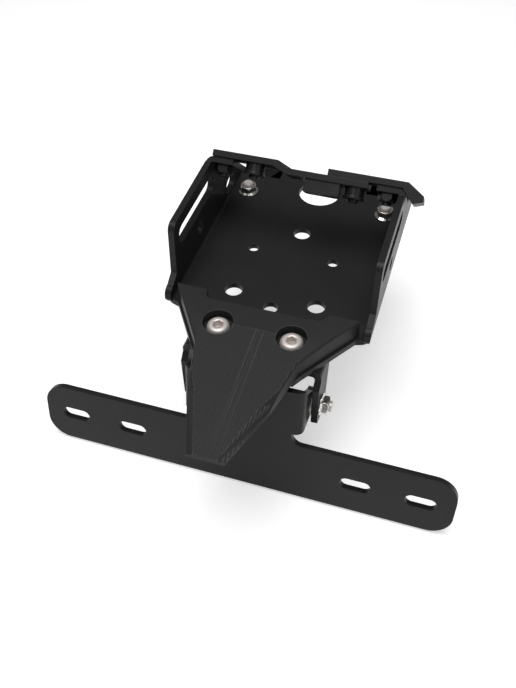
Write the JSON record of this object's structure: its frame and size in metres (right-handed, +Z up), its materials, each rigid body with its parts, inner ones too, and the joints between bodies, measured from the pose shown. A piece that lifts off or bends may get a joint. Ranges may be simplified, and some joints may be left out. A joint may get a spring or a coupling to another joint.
{
  "type": "number plate holder",
  "caption": "Motorcycle number plate holder: folded tray with slotted side flanges, clamped nose wedge and a slotted T bracket that tilts on a hinge below the tray.",
  "frame": {"origin": "midway between the two medium holes in the tray floor, on the floor's top face", "axes": "+X to the right as the rider sits reversed and faces the plate side, +Y towards the motorcycle, +Z up and square to the tray floor"},
  "size_m": [0.201, 0.196, 0.1092],
  "materials": {
    "black_coat": "satin black powder coat on folded steel sheet",
    "black_anodised": "satin black anodised, with fine tool grooves on the nose",
    "stainless": "bright stainless steel",
    "black_steel": "black zinc"
  },
  "bodies": {
    "carrier": {"tray": "black_coat", "hinge_bracket": "black_coat", "rear_strap_left": "black_coat", "rear_strap_right": "black_coat", "nose_wedge": "black_anodised", "wedge_screw_left": "stainless", "wedge_washer_left": "stainless", "wedge_nut_left": "stainless", "hinge_bolt_left": "stainless", "hinge_washer_left": "stainless", "hinge_nut_left": "stainless", "floor_bolt_left": "stainless", "floor_nut_left": "stainless", "wedge_screw_right": "stainless", "wedge_washer_right": "stainless", "wedge_nut_right": "stainless", "hinge_bolt_right": "stainless", "hinge_washer_right": "stainless", "hinge_nut_right": "stainless", "floor_bolt_right": "stainless", "floor_nut_right": "stainless", "rear_block": "black_steel", "block_screw": "black_steel", "tab_screw_left": "black_steel", "tab_nut_left": "black_steel", "rear_boss_left": "black_steel", "boss_screw_left": "black_steel", "tab_screw_right": "black_steel", "tab_nut_right": "black_steel", "rear_boss_right": "black_steel", "boss_screw_right": "black_steel"},
    "plate": {"plate_bracket": "black_coat"}
  },
  "joints": [
    {"name": "plate_tilt", "type": "hinge", "parent": "carrier", "child": "plate", "pos_m": [0, -0.034, -0.0265], "axis": [1, 0, 0], "range_deg": [-7, 35]}
  ]
}
